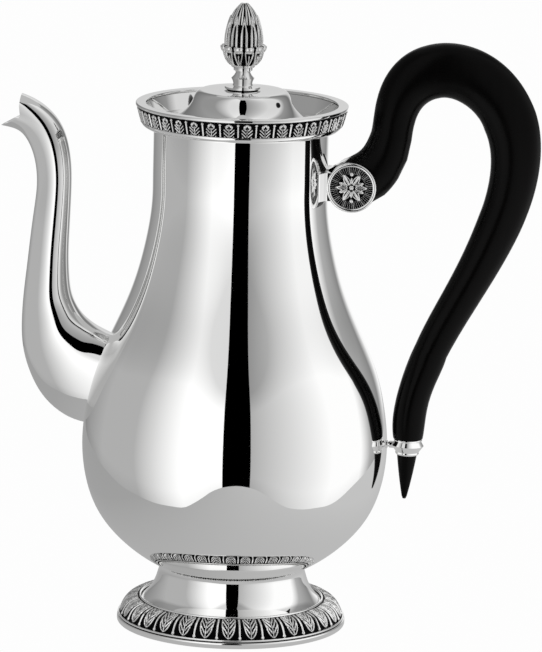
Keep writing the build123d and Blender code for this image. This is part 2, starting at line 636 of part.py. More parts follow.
STUD_TOP = LID_TOP + STUD_REACH
STUD_BOTTOM = LID_TOP - LID_SHEET - WASHER_THICKNESS - NUT_THICKNESS - STUD_END


def finial_stud(radius):
    """threaded rod through the whole finial and the lid"""
    return rod((0, 0, STUD_BOTTOM), (0, 0, STUD_TOP), radius)


def finial_washer(stud):
    top = LID_TOP - LID_SHEET
    return ring([(0, top - WASHER_THICKNESS), (WASHER_RADIUS, top - WASHER_THICKNESS),
                 (WASHER_RADIUS, top), (0, top)]) - stud


def finial_nut(stud):
    bottom = LID_TOP - LID_SHEET - WASHER_THICKNESS - NUT_THICKNESS
    outline = RegularPolygon(NUT_FLATS / 2, 6, major_radius=False)
    return extrude(Pos(0, 0, bottom) * outline, NUT_THICKNESS) - stud


# ---- make and save every piece ---------------------------------------------------------
filled = body_filled()
bore = spout_body(WALL)
save(body_shell(bore), "body_shell")
save(spout_body(0.0) - filled - beak_cut() - bore, "spout")
save(lid_seat(), "lid_seat")
save(mouth_flange(), "mouth_flange")
save(rim_border(filled), "rim_border")
save(foot_pedestal(filled), "foot_pedestal")
save(foot_border(), "foot_border")
save(foot_bead(), "foot_bead")
save(base_ring(), "base_ring")

cross_pin, wood_pin, bar_strap = clasp_pin(), strap_pin(), strap(filled)
neck_clasp = clasp(filled, cross_pin, bar_strap)
save(neck_clasp, "neck_clasp")
save(rosette(-1), "rosette_front")
save(rosette(1), "rosette_back")
save(cross_pin, "clasp_pin")
save(bar_strap - wood_pin, "handle_strap")
save(wood_pin, "strap_pin")

long_stud = tip_stud()
low_ring = handle_ring(long_stud)
save(handle_grip(neck_clasp, bar_strap, (cross_pin, wood_pin), long_stud), "handle_grip")
save(low_ring, "handle_ring")
save(handle_tip(long_stud), "handle_tip")
save(long_stud, "tip_stud")
save(ring_link(filled, low_ring), "ring_link")

stud_hole = finial_stud(STUD_RADIUS + STUD_CLEARANCE)
save(lid_cover(stud_hole), "lid_cover")
save(lid_skirt(), "lid_skirt")
save(finial_base(stud_hole), "finial_base")
save(finial_calyx(stud_hole, turned(bud_outline())), "finial_calyx")
save(finial_bud(stud_hole), "finial_bud")
save(finial_stud(STUD_RADIUS), "finial_stud")
save(finial_washer(stud_hole), "finial_washer")
save(finial_nut(stud_hole), "finial_nut")
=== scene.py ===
import bpy
import bmesh
import math
import numpy as np
from mathutils import Matrix, Vector


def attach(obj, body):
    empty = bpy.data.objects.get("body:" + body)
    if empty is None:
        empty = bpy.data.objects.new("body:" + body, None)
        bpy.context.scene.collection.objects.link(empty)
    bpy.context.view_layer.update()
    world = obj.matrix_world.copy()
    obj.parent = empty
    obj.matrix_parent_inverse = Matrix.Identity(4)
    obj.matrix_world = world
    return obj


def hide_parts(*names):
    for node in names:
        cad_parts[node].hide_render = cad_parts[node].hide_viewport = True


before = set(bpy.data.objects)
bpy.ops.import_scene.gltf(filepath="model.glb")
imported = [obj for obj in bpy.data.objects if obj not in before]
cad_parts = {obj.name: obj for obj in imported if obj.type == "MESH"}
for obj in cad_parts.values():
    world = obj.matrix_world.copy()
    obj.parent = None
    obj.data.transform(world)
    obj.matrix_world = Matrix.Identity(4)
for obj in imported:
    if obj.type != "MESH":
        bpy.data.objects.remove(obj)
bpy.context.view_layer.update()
MM = 0.001

# ---- camera -------------------------------------------------------------------------
# A long lens at table height and a little above, with the spout at the left. The camera
# stands a few degrees round towards the handle and is tipped a little.
TURN = math.radians(7.0)
FAR, HIGH = 2.1759, 0.575
YAW, PITCH, ROLL = 0.0064, 0.2036, 0.0241
LENS, SENSOR_WIDTH = 296.9, 36.0

camera = bpy.data.objects.new("camera", bpy.data.cameras.new("camera"))
bpy.context.scene.collection.objects.link(camera)
bpy.context.scene.camera = camera
camera.data.lens = LENS
camera.data.sensor_width = SENSOR_WIDTH
camera.data.clip_start, camera.data.clip_end = 0.1, 100.0
ahead = Vector((math.sin(YAW) * math.cos(PITCH), math.cos(YAW) * math.cos(PITCH), -math.sin(PITCH)))
right = Vector((math.cos(YAW), -math.sin(YAW), 0.0))
up = right.cross(ahead)
tipped_right = math.cos(ROLL) * right + math.sin(ROLL) * up
tipped_up = -math.sin(ROLL) * right + math.cos(ROLL) * up
axes = Matrix((tipped_right, tipped_up, -ahead)).transposed().to_4x4()
turn = Matrix.Rotation(TURN, 4, "Z")
camera.matrix_world = turn @ Matrix.Translation((0.0, -FAR, HIGH)) @ axes

# ---- body -----------------------------------------------------------------------------
# The pear-shaped body is one piece of spun and polished sheet, from its dished bottom over
# the belly to a straight neck that flares into the mouth.
def new_tree_socket(tree, name, kind, inward, value=None):
    socket = tree.interface.new_socket(name=name, in_out="INPUT" if inward else "OUTPUT", socket_type=kind)
    if value is not None:
        socket.default_value = value
    return socket


def wear_group():
    """fine hand-polishing marks: puts out a roughness and a surface normal"""
    tree = bpy.data.node_groups.new("polishing_marks", "ShaderNodeTree")
    new_tree_socket(tree, "Scale", "NodeSocketFloat", True, 900.0)
    new_tree_socket(tree, "Low", "NodeSocketFloat", True, 0.02)
    new_tree_socket(tree, "High", "NodeSocketFloat", True, 0.06)
    new_tree_socket(tree, "Depth", "NodeSocketFloat", True, 0.01)
    new_tree_socket(tree, "Roughness", "NodeSocketFloat", False)
    new_tree_socket(tree, "Normal", "NodeSocketVector", False)
    nodes, links = tree.nodes, tree.links
    taken, given = nodes.new("NodeGroupInput"), nodes.new("NodeGroupOutput")
    where = nodes.new("ShaderNodeTexCoord")
    cloud = nodes.new("ShaderNodeTexNoise")
    cloud.inputs["Scale"].default_value = 45.0
    cloud.inputs["Detail"].default_value = 4.0
    marks = nodes.new("ShaderNodeTexNoise")
    marks.inputs["Detail"].default_value = 3.0
    links.new(where.outputs["Object"], cloud.inputs["Vector"])
    links.new(where.outputs["Object"], marks.inputs["Vector"])
    links.new(taken.outputs["Scale"], marks.inputs["Scale"])
    spread = nodes.new("ShaderNodeMapRange")
    links.new(cloud.outputs["Fac"], spread.inputs["Value"])
    spread.inputs["From Min"].default_value = 0.35
    spread.inputs["From Max"].default_value = 0.7
    links.new(taken.outputs["Low"], spread.inputs["To Min"])
    links.new(taken.outputs["High"], spread.inputs["To Max"])
    links.new(spread.outputs["Result"], given.inputs["Roughness"])
    bump = nodes.new("ShaderNodeBump")
    bump.inputs["Distance"].default_value = 0.0001
    links.new(taken.outputs["Depth"], bump.inputs["Strength"])
    links.new(marks.outputs["Fac"], bump.inputs["Height"])
    links.new(bump.outputs["Normal"], given.inputs["Normal"])
    return tree


POLISH = wear_group()


def finish(name):
    """a new material with its shader and its polishing marks, not yet joined"""
    material = bpy.data.materials.new(name)
    material.use_nodes = True
    shader = material.node_tree.nodes["Principled BSDF"]
    marks = material.node_tree.nodes.new("ShaderNodeGroup")
    marks.node_tree = POLISH
    return material, shader, marks


def polished_metal(name, colour, low, high, depth=0.006):
    """plain metal, from low to high roughness"""
    material, shader, marks = finish(name)
    links = material.node_tree.links
    shader.inputs["Base Color"].default_value = (*colour, 1.0)
    shader.inputs["Metallic"].default_value = 1.0
    marks.inputs["Low"].default_value = low
    marks.inputs["High"].default_value = high
    marks.inputs["Depth"].default_value = depth
    links.new(marks.outputs["Roughness"], shader.inputs["Roughness"])
    links.new(marks.outputs["Normal"], shader.inputs["Normal"])
    return material


SILVER = polished_metal("polished_silver", (0.94, 0.94, 0.935), 0.012, 0.035)


def cubic(points, steps, start=None, end=None):
    """a smooth curve through the points, steps places to a span; start and end are slopes"""
    p = np.array(points, float)
    gaps = np.linalg.norm(np.diff(p, axis=0), axis=1)
    knots = np.concatenate(([0.0], np.cumsum(gaps)))
    count = len(p)
    matrix, wanted = np.zeros((count, count)), np.zeros_like(p)
    for row in range(1, count - 1):
        before, after = gaps[row - 1], gaps[row]
        matrix[row, row - 1:row + 2] = before, 2 * (before + after), after
        wanted[row] = 6 * ((p[row + 1] - p[row]) / after - (p[row] - p[row - 1]) / before)
    matrix[0, 0] = matrix[-1, -1] = 1.0
    if start is not None:
        matrix[0, :2] = 2 * gaps[0], gaps[0]
        wanted[0] = 6 * ((p[1] - p[0]) / gaps[0] - np.array(start, float))
    if end is not None:
        matrix[-1, -2:] = gaps[-1], 2 * gaps[-1]
        wanted[-1] = 6 * (np.array(end, float) - (p[-1] - p[-2]) / gaps[-1])
    bend = np.linalg.solve(matrix, wanted)
    line = []
    for span in range(count - 1):
        h = gaps[span]
        for step in range(steps):
            b = step / steps * h
            a = h - b
            line.append(bend[span] * a**3 / (6 * h) + bend[span + 1] * b**3 / (6 * h)
                        + (p[span] / h - bend[span] * h / 6) * a
                        + (p[span + 1] / h - bend[span + 1] * h / 6) * b)
    line.append(p[-1])
    return np.array(line)


def inset(line, distance):
    """an outline that runs upwards, moved towards the axis by the sheet's thickness"""
    slope = np.gradient(np.array(line, float), axis=0)
    slope /= np.linalg.norm(slope, axis=1)[:, None]
    return np.array(line) + distance * np.stack((-slope[:, 1], slope[:, 0]), axis=1)


def piece(name, mesh, material, body, slot, *nodes):
    """puts a finished mesh in the scene, riding on its body in place of its CAD nodes"""
    made = bpy.data.objects.new(name, mesh)
    bpy.context.scene.collection.objects.link(made)
    mesh.materials.clear()
    mesh.materials.append(material)
    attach(made, body)
    if nodes:
        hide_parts(*nodes)
    return made


def lathe(name, outline, segments=192, sharp=32.0):
    """turns a closed outline of (radius, height) in millimetres about the pot's axis"""
    form = bmesh.new()
    rings = []
    for radius, height in outline:
        if abs(radius) < 1e-6:
            rings.append([form.verts.new((0.0, 0.0, height * MM))])
            continue
        turns = [2 * math.pi * step / segments for step in range(segments)]
        rings.append([form.verts.new((radius * MM * math.cos(a), radius * MM * math.sin(a), height * MM))
                      for a in turns])
    for low, high in zip(rings, [*rings[1:], rings[0]]):
        if len(low) == 1 and len(high) == 1:
            continue
        for step in range(segments):
            after = (step + 1) % segments
            corners = [low[step % len(low)], low[after % len(low)],
                       high[after % len(high)], high[step % len(high)]]
            form.faces.new(list(dict.fromkeys(corners)))
    bmesh.ops.recalc_face_normals(form, faces=form.faces)
    mesh = bpy.data.meshes.new(name)
    form.to_mesh(mesh)
    form.free()
    mesh.shade_smooth()
    mesh.set_sharp_from_angle(angle=math.radians(sharp))
    return mesh


SHEET = 1.0
FLOOR, FLOOR_BEND = (0.0, 19.5), (17.98, 20.985)
JOINT, BELLY, NECK = (31.0, 25.0), (63.2, 78.0), (36.15, 180.0)
NECK_LEAD = 8.0
BOWL_SHAPE = [(0.094, 0.265), (0.226, 0.528), (0.434, 0.798), (0.74, 0.969)]
SHOULDER_SHAPE = [(0.137, 0.055), (0.275, 0.178), (0.431, 0.42), (0.608, 0.703), (0.804, 0.905)]
RIM_TOP, SEAT, NECK_TOP = 218.7, 209.6, 208.2
FLANGE_THICKNESS = 1.3
FLANGE_UNDER = RIM_TOP - FLANGE_THICKNESS
SEAT_RADIUS, MOUTH_RADIUS = 37.35, 39.4


def between(shape, low, high):
    """a shape given as shares of the step from one point up to another, in millimetres"""
    return [(low[0] + a * (high[0] - low[0]), low[1] + b * (high[1] - low[1])) for b, a in shape]


body_outer = cubic([FLOOR, FLOOR_BEND, JOINT, *between(BOWL_SHAPE, JOINT, BELLY), BELLY,
                    *between(SHOULDER_SHAPE, BELLY, NECK), NECK, (NECK[0], NECK[1] + NECK_LEAD),
                    (NECK[0], NECK[1] + 2 * NECK_LEAD)], 9, start=(1, 0), end=(0, 1))
body_inner = inset(body_outer, SHEET)
body_inner[0], body_inner[-1] = (0.0, FLOOR[1] + SHEET), (NECK[0] - SHEET, NECK[1] + 2 * NECK_LEAD)
mouth_inner = [(NECK[0] - SHEET, NECK_TOP), (SEAT_RADIUS, SEAT), (MOUTH_RADIUS, FLANGE_UNDER)]
mouth_outer = [(radius + SHEET, height) for radius, height in mouth_inner]
body_mesh = lathe("body", [*body_outer, *mouth_outer, *reversed(mouth_inner), *reversed(body_inner)], 256)
piece("spun_body", body_mesh, SILVER, "pot", "polished_silver", "body_shell")

# ---- mouth ----------------------------------------------------------------------------
# A flat polished silver ring is soldered round the mouth, on the flare of the body. A ledge
# of the same sheet inside the flare carries the lid.
def rounded(corners, radius, steps=5):
    """an outline whose corners are eased by short arcs"""
    eased = []
    for before, here, after in zip([corners[-1], *corners[:-1]], corners, [*corners[1:], corners[0]]):
        here, before, after = (np.array(point, float) for point in (here, before, after))
        to_before, to_after = before - here, after - here
        reach = min(radius, 0.45 * np.linalg.norm(to_before), 0.45 * np.linalg.norm(to_after))
        start = here + to_before / np.linalg.norm(to_before) * reach
        end = here + to_after / np.linalg.norm(to_after) * reach
        for step in range(steps + 1):
            t = step / steps
            eased.append((1 - t) ** 2 * start + 2 * t * (1 - t) * here + t ** 2 * end)
    return eased


FLANGE_RADIUS = 43.7
flange = [(MOUTH_RADIUS, FLANGE_UNDER), (FLANGE_RADIUS, FLANGE_UNDER), (FLANGE_RADIUS, RIM_TOP),
          (MOUTH_RADIUS, RIM_TOP)]
piece("mouth_ring", lathe("mouth_ring", rounded(flange, 0.55)), SILVER, "pot", "polished_silver",
      "mouth_flange")
ledge = [(NECK[0] - SHEET, NECK_TOP), (SEAT_RADIUS, SEAT), (NECK[0] - SHEET, SEAT)]
piece("lid_ledge", lathe("lid_ledge", rounded(ledge, 0.15, 2)), SILVER, "pot", "polished_silver", "lid_seat")

# ---- foot -----------------------------------------------------------------------------
# The foot is a spool of sheet soldered under the body; below its leaf border it ends in a
# wire and the flat ring that the pot stands on.
BASE_RADIUS, BASE_HEIGHT, BASE_WIDTH = 47.5, 2.5, 4.6
CROWN_TOP, CROWN_LOW, CROWN_BULGE = (37.6, 10.6), (46.345, 3.05), 1.5
SPOOL_SHEET, SPOOL_INSET, UNDER_DROP = 1.2, 1.0, 0.25
WIRE_RADIUS, WIRE_INSET, WIRE_RISE = 0.42, 0.7, 0.75


def crown(shift, steps):
    """the convex slope under the leaves, from its inner edge out and down"""
    a, b = (CROWN_TOP[0], CROWN_TOP[1] - shift), (CROWN_LOW[0] - shift, CROWN_LOW[1])
    middle = ((a[0] + b[0]) / 2 + CROWN_BULGE, (a[1] + b[1]) / 2 + CROWN_BULGE)
    return cubic([a, middle, b], steps)


cove = cubic([(31.2, 26.0), (30.3, 24.0), (30.7, 21.0), (31.8, 17.5), (34.4, 12.8), (37.6, 9.6)], 8)
under_cove = [(radius - SPOOL_SHEET, height - UNDER_DROP) for radius, height in cove]
low_crown = crown(SPOOL_INSET, 8)
spool_edge = CROWN_LOW[0] - SPOOL_INSET
foot_outline = [*cove[:-1], *low_crown, (spool_edge, BASE_HEIGHT), (spool_edge - SPOOL_SHEET, BASE_HEIGHT),
                *[(radius - SPOOL_SHEET, height - SPOOL_SHEET) for radius, height in reversed(low_crown[1:-1])],
                *reversed(under_cove[:-1])]
piece("foot_spool", lathe("foot_spool", foot_outline), SILVER, "pot", "polished_silver", "foot_pedestal")


def stamped_metal_painted_shade(name, bright, painted_shade, edge_low, edge_high):
    """metal with painted shade: its hollows are painted near black where the 'relief' attribute is low"""
    material, shader, marks = finish(name)
    nodes, links = material.node_tree.nodes, material.node_tree.links
    relief = nodes.new("ShaderNodeAttribute")
    relief.attribute_name = "relief"
    shade_ramp = nodes.new("ShaderNodeMapRange")
    shade_ramp.interpolation_type = "SMOOTHSTEP"
    shade_ramp.inputs["From Min"].default_value = edge_low
    shade_ramp.inputs["From Max"].default_value = edge_high
    links.new(relief.outputs["Fac"], shade_ramp.inputs["Value"])
    # painted shade: the colour runs from the bright metal down to near black in the low parts of the relief
    tint = nodes.new("ShaderNodeMix")
    tint.data_type = "RGBA"
    tint.inputs["A"].default_value = (*painted_shade, 1.0)
    tint.inputs["B"].default_value = (*bright, 1.0)
    links.new(shade_ramp.outputs["Result"], tint.inputs["Factor"])
    links.new(tint.outputs["Result"], shader.inputs["Base Color"])
    rough = nodes.new("ShaderNodeMapRange")
    rough.inputs["To Min"].default_value = 0.55
    rough.inputs["To Max"].default_value = 0.16
    links.new(shade_ramp.outputs["Result"], rough.inputs["Value"])
    links.new(rough.outputs["Result"], shader.inputs["Roughness"])
    shader.inputs["Metallic"].default_value = 1.0
    marks.inputs["Depth"].default_value = 0.15
    links.new(marks.outputs["Normal"], shader.inputs["Normal"])
    return material


# Stamped relief gets painted shade: near black in its hollows, bright on its raised parts.
STAMPED_PAINTED_SHADE = stamped_metal_painted_shade("stamped_silver_painted_shade", (0.96, 0.96, 0.955), (0.004, 0.004, 0.0045), 0.3, 0.62)
wire_radius, wire_height = BASE_RADIUS - WIRE_INSET, BASE_HEIGHT + WIRE_RISE
wire = [(wire_radius + WIRE_RADIUS * math.cos(a), wire_height + WIRE_RADIUS * math.sin(a))
        for a in (math.radians(30 * step) for step in range(12))]
piece("foot_wire", lathe("foot_wire", wire), SILVER, "pot", "polished_silver", "foot_bead")
# This ring has no relief values, so the stamped material paints it wholly near black: painted shade in the gap
# between the wire and the base band.
groove = [(BASE_RADIUS - inset_by, BASE_HEIGHT + rise_by)
          for inset_by, rise_by in [(1.9, -0.1), (0.5, -0.1), (0.55, 0.45), (1.9, 0.45)]]
piece("foot_groove_painted_shade", lathe("foot_groove_painted_shade", groove), STAMPED_PAINTED_SHADE, "pot", "chased_silver")
base = [(BASE_RADIUS - BASE_WIDTH, 0.0), (BASE_RADIUS, 0.0), (BASE_RADIUS, BASE_HEIGHT),
        (BASE_RADIUS - BASE_WIDTH, BASE_HEIGHT)]
piece("base_band", lathe("base_band", rounded(base, 0.8)), SILVER, "pot", "polished_silver", "base_ring")

# ---- leaf borders ------------------------------------------------------------------------
# Both borders are strips stamped with palmettes between thin pillars. One leaf and half a
# pillar each side make a patch, which is repeated round the axis.
def ridge(distance, width):
    """1 on a line or point, falling to 0 a width away"""
    return max(0.0, 1.0 - (distance / width) ** 2)


def ease(low, high, value):
    """a soft step from 0 at low to 1 at high"""
    t = min(1.0, max(0.0, (value - low) / (high - low)))
    return t * t * (3 - 2 * t)


def rim_leaf(u, v):
    """height of the rim's relief; u is -0.5 to 0.5 across, v is 0 to 1 up"""
    side = abs(u)
    width = 0.31 * math.sqrt(max(0.0, 1.0 - ((v - 0.4) / 0.54) ** 2)) if v > 0.4 else 0.31 - 0.12 * (0.4 - v)
    inside = ease(-0.02, 0.02, width - side) * ease(0.03, 0.07, v)
    lobes = ease(0.0, 0.6, math.sin(2 * math.pi * (v * 4.4 - side * 5.0 + 0.1)))
    vein = lobes * ease(0.03, 0.07, side) * ease(0.74, 0.66, v)
    curl = ridge(math.hypot(side - 0.13, (v - 0.8) * 0.9), 0.11) ** 0.5
    crest = ridge(math.hypot(side, (v - 0.88) * 1.1), 0.08) ** 0.5
    leaf = inside * max(ridge(side, 0.03) * ease(0.72, 0.6, v), vein, curl, crest)
    post_side = 0.5 - side
    post = ridge(post_side, 0.05) ** 0.5 * ease(0.04, 0.07, v) * ease(0.92, 0.88, v)
    knob = ridge(math.hypot(post_side, (v - 0.87) * 0.9), 0.085) ** 0.5
    return max(leaf, post, 1.15 * knob, ease(0.03, 0.0, v))


def foot_leaf(u, v):
    """height of the foot's relief; v is 0 at the cove and 1 at the outer edge"""
    side = abs(u)
    width = 0.33 * math.sqrt(max(0.0, 1.0 - ((v - 0.28) / 0.64) ** 2)) if v > 0.28 else 0.33
    inside = ease(-0.015, 0.015, width - side) * ease(0.09, 0.12, v)
    rim = ridge(width - side - 0.03, 0.035)
    lobes = ease(-0.05, 0.6, math.sin(2 * math.pi * (v * 5.0 + side * 6.5 + 0.15)))
    leaf = inside * max(rim, ridge(side, 0.03), lobes * ease(0.02, 0.06, side))
    post_side = 0.5 - side
    post = ridge(post_side, 0.035 + 0.03 * (1 - v)) ** 0.5 * ease(0.1, 0.13, v) * ease(0.93, 0.88, v)
    knob = ridge(math.hypot(post_side, (v - 0.9) * 1.0), 0.075) ** 0.5
    return max(leaf, post, 1.15 * knob, ease(0.065, 0.04, v))


FACE_LEVEL, PLAIN_LEVEL, BACK_LEVEL = 0.35, 1.0, 0.6


def patch(name, face, back, height_at, count, columns, depth, plain=()):
    """one repeat of a stamped ring: the relief on the face, then the plain way round behind"""
    face = np.array(face, float)
    slope = np.gradient(face, axis=0)
    slope /= np.linalg.norm(slope, axis=1)[:, None]
    outward = np.stack((-slope[:, 1], slope[:, 0]), axis=1)
    if outward[len(face) // 2][0] < 0:
        outward = -outward
    form, heights, columns_made = bmesh.new(), [], []
    for column in range(columns + 1):
        u = column / columns - 0.5
        angle = 2 * math.pi * u / count
        ring_points = []
        for row in range(len(face)):
            level = height_at(u, row / (len(face) - 1))
            radius, height = face[row] + outward[row] * depth * (level - FACE_LEVEL)
            ring_points.append((radius, height, level))
        for radius, height in [*plain, *back]:
            ring_points.append((radius, height, PLAIN_LEVEL if (radius, height) in plain else BACK_LEVEL))
        made = []
        for radius, height, level in ring_points:
            x, y = radius * MM * math.cos(angle), radius * MM * math.sin(angle)
            made.append(form.verts.new((x, y, height * MM)))
            heights.append(level)
        columns_made.append(made)
    for here, beside in zip(columns_made[:-1], columns_made[1:]):
        for row in range(len(here)):
            after = (row + 1) % len(here)
            form.faces.new((here[row], beside[row], beside[after], here[after]))
    bmesh.ops.recalc_face_normals(form, faces=form.faces)
    mesh = bpy.data.meshes.new(name)
    form.to_mesh(mesh)
    form.free()
    # the relief heights are also the mask for the stamped material's painted shade
    relief = mesh.attributes.new("relief", "FLOAT", "POINT")
    relief.data.foreach_set("value", heights)
    return mesh


def ring_tree():
    """repeats its mesh a number of times round the pot's axis and joins the seams"""
    tree = bpy.data.node_groups.new("repeat_round_axis", "GeometryNodeTree")
    new_tree_socket(tree, "Geometry", "NodeSocketGeometry", True)
    new_tree_socket(tree, "Count", "NodeSocketInt", True, 12)
    new_tree_socket(tree, "Material", "NodeSocketMaterial", True)
    new_tree_socket(tree, "Geometry", "NodeSocketGeometry", False)
    nodes, links = tree.nodes, tree.links
    taken, given = nodes.new("NodeGroupInput"), nodes.new("NodeGroupOutput")
    line = nodes.new("GeometryNodeMeshLine")
    line.inputs["Offset"].default_value = (0.0, 0.0, 0.0)
    links.new(taken.outputs["Count"], line.inputs["Count"])
    index = nodes.new("GeometryNodeInputIndex")
    share, angle = nodes.new("ShaderNodeMath"), nodes.new("ShaderNodeMath")
    share.operation, angle.operation = "DIVIDE", "MULTIPLY"
    links.new(index.outputs[0], share.inputs[0])
    links.new(taken.outputs["Count"], share.inputs[1])
    links.new(share.outputs[0], angle.inputs[0])
    angle.inputs[1].default_value = 2 * math.pi
    spin = nodes.new("ShaderNodeCombineXYZ")
    links.new(angle.outputs[0], spin.inputs["Z"])
    spread = nodes.new("GeometryNodeInstanceOnPoints")
    links.new(line.outputs["Mesh"], spread.inputs["Points"])
    links.new(taken.outputs["Geometry"], spread.inputs["Instance"])
    links.new(spin.outputs[0], spread.inputs["Rotation"])
    solid, weld = nodes.new("GeometryNodeRealizeInstances"), nodes.new("GeometryNodeMergeByDistance")
    weld.inputs["Distance"].default_value = 0.00001
    paint = nodes.new("GeometryNodeSetMaterial")
    links.new(spread.outputs["Instances"], solid.inputs["Geometry"])
    links.new(solid.outputs["Geometry"], weld.inputs["Geometry"])
    links.new(weld.outputs["Geometry"], paint.inputs["Geometry"])
    links.new(taken.outputs["Material"], paint.inputs["Material"])
    links.new(paint.outputs["Geometry"], given.inputs["Geometry"])
    return tree


RING_TREE = ring_tree()


def repeat_round(name, mesh, count, material):
    """runs the tree on one patch and gives back the whole ring as a plain mesh"""
    holder = bpy.data.objects.new(name, mesh)
    bpy.context.scene.collection.objects.link(holder)
    modifier = holder.modifiers.new("ring", "NODES")
    modifier.node_group = RING_TREE
    sockets = {item.name: item.identifier for item in RING_TREE.interface.items_tree if item.in_out == "INPUT"}
    modifier[sockets["Count"]] = count
    modifier[sockets["Material"]] = material
    bpy.context.view_layer.update()
    evaluated = holder.evaluated_get(bpy.context.evaluated_depsgraph_get())
    whole = bpy.data.meshes.new_from_object(evaluated)
    bpy.data.objects.remove(holder)
    whole.name = name
    whole.shade_smooth()
    return whole


RIM_COUNT, FOOT_COUNT = 36, 30
LEAF_FOOT = FLANGE_UNDER - 6.5
LEAF_LOW_RADIUS, LEAF_TOP_RADIUS, LEAF_GAP = 41.1, 42.9, 0.3
ROLL_RADIUS = 41.25
rim_face = np.linspace((LEAF_LOW_RADIUS, LEAF_FOOT), (LEAF_TOP_RADIUS, FLANGE_UNDER - LEAF_GAP), 46)
tuck = (NECK[0], NECK_TOP - 0.1)
roll_top = LEAF_FOOT - LEAF_GAP
roll_in, roll_down = ROLL_RADIUS - tuck[0], roll_top - tuck[1]
quarter = [(ROLL_RADIUS - roll_in * (1 - math.cos(a)), roll_top - roll_down * math.sin(a))
           for a in (math.radians(10 * step) for step in range(10))]
rim_back = [*reversed(mouth_outer), tuck]
rim_patch = patch("rim_patch", rim_face, rim_back, rim_leaf, RIM_COUNT, 32, 0.75,
                  plain=[(LEAF_TOP_RADIUS, FLANGE_UNDER)])
rim_ring = repeat_round("rim_leaves", rim_patch, RIM_COUNT, STAMPED_PAINTED_SHADE)
piece("rim_leaves", rim_ring, STAMPED_PAINTED_SHADE, "pot", "chased_silver", "rim_border")
roll = [(ROLL_RADIUS, LEAF_FOOT + 0.1), *quarter, (NECK[0], LEAF_FOOT + 0.1)]
piece("rim_roll", lathe("rim_roll", roll), SILVER, "pot", "polished_silver")

foot_face = crown(0.0, 21)
foot_patch = patch("foot_patch", foot_face, [tuple(point) for point in reversed(crown(0.95, 6))], foot_leaf,
                   FOOT_COUNT, 34, 0.8)
foot_ring = repeat_round("foot_leaves", foot_patch, FOOT_COUNT, STAMPED_PAINTED_SHADE)
piece("foot_leaves", foot_ring, STAMPED_PAINTED_SHADE, "pot", "chased_silver", "foot_border")

# ---- lid ------------------------------------------------------------------------------
# The lid is a loose spun cap: a flat top, a soft shoulder, a flared side and a flange that
# drops onto the ledge, with a ring under it that keeps it centred.
LID_TOP, LID_SHEET, LID_CLEARANCE = 224.5, 0.9, 0.5
LID_UNDER = SEAT + 0.05
LID_RADIUS = SEAT_RADIUS - LID_CLEARANCE
SKIRT_DROP = 9.0
rise = LID_TOP - LID_UNDER - LID_SHEET
lid_side = cubic([(16.7, LID_TOP - 0.25), (18.7, LID_TOP - 1.3), (20.6, LID_TOP - 0.38 * rise),
                  (23.6, LID_TOP - 0.65 * rise), (28.1, LID_TOP - 0.87 * rise), (33.35, LID_TOP - rise)], 8,
                 start=(1, -0.05), end=(1, 0))
lid_line = np.concatenate(([(0.0, LID_TOP), (8.5, LID_TOP), (12.0, LID_TOP - 0.08)], lid_side,
                           [(LID_RADIUS - 0.3, LID_TOP - rise), (LID_RADIUS, LID_TOP - rise - 0.3)]))
lid_under = [(radius if radius < 1 else radius - 0.35, height - LID_SHEET) for radius, height in lid_line[:-2]]
lid_outline = [*lid_line, (LID_RADIUS, LID_UNDER), *reversed(lid_under)]
piece("lid_cap", lathe("lid_cap", lid_outline), SILVER, "lid", "polished_silver", "lid_cover")
skirt_radius = NECK[0] - SHEET - LID_CLEARANCE
skirt = [(skirt_radius - LID_SHEET, LID_UNDER), (skirt_radius, LID_UNDER),
         (skirt_radius, LID_UNDER - SKIRT_DROP), (skirt_radius - LID_SHEET, LID_UNDER - SKIRT_DROP)]
piece("lid_ring", lathe("lid_ring", rounded(skirt, 0.2, 2)), SILVER, "lid", "polished_silver", "lid_skirt")

# ---- finial ---------------------------------------------------------------------------
# A turned disc and knop carry a cast bud: a calyx of leaves with rolled lips, and a closed
# bud of long grooved leaves with a second row over its point.
LEAVES = 11


def above_lid(outline):
    """an outline whose heights are given from the top of the lid"""
    return [(radius, LID_TOP + height) for radius, height in outline]


disc = [(6.3, 0.0), (7.3, 0.4), (7.5, 0.8), (7.2, 1.2), (5.6, 1.5), (4.2, 1.75)]
knop = [(3.9, 2.5), (4.2, 3.6), (4.75, 4.7), (3.6, 5.9), (3.0, 7.0), (3.3, 7.6), (3.9, 8.0), (3.95, 8.9),
        (3.7, 9.9)]
stem = above_lid([(0.0, 0.0), *disc, *knop, (0.0, 9.9)])
piece("finial_stem", lathe("finial_stem", stem, 96, 20.0), SILVER, "lid", "polished_silver", "finial_base")


def calyx_leaf(u, v):
    """a leaf with a rolled lip, a raised edge each side and two flutes between"""
    side = abs(u)
    lip = ridge(math.hypot(side * 1.05, (v - 0.86) * 1.35), 0.45) ** 0.5 * ease(0.58, 0.68, v)
    edge = ridge(side - 0.12 - 0.24 * ease(0.0, 0.7, v), 0.09) * ease(0.78, 0.7, v)
    rib = ridge(side, 0.06 + 0.05 * v) * ease(0.6, 0.52, v) * ease(0.12, 0.2, v)
    return max(1.35 * lip, edge * ease(0.03, 0.1, v), rib, ease(0.06, 0.03, v))


def bud_leaf(u, v):
    """long leaves with a groove down the middle, and a second row over the point"""
    side, other = abs(u), 0.5 - abs(u)
    long_width = 0.43 * (1.0 if v < 0.5 else max(0.0, 1 - ((v - 0.5) / 0.28) ** 1.4))
    leaf = ease(0.02, 0.12, long_width - side) * ease(0.05, 0.17, side + 0.2 * ease(0.58, 0.7, v))
    cap_width = 0.42 if v < 0.85 else 0.42 * math.sqrt(max(0.0, 1 - ((v - 0.85) / 0.2) ** 2))
    cap = ease(0.0, 0.12, cap_width - other) * ease(0.02, 0.12, other) * ease(0.6, 0.66, v) * 0.7
    return leaf if leaf > 0.02 else cap


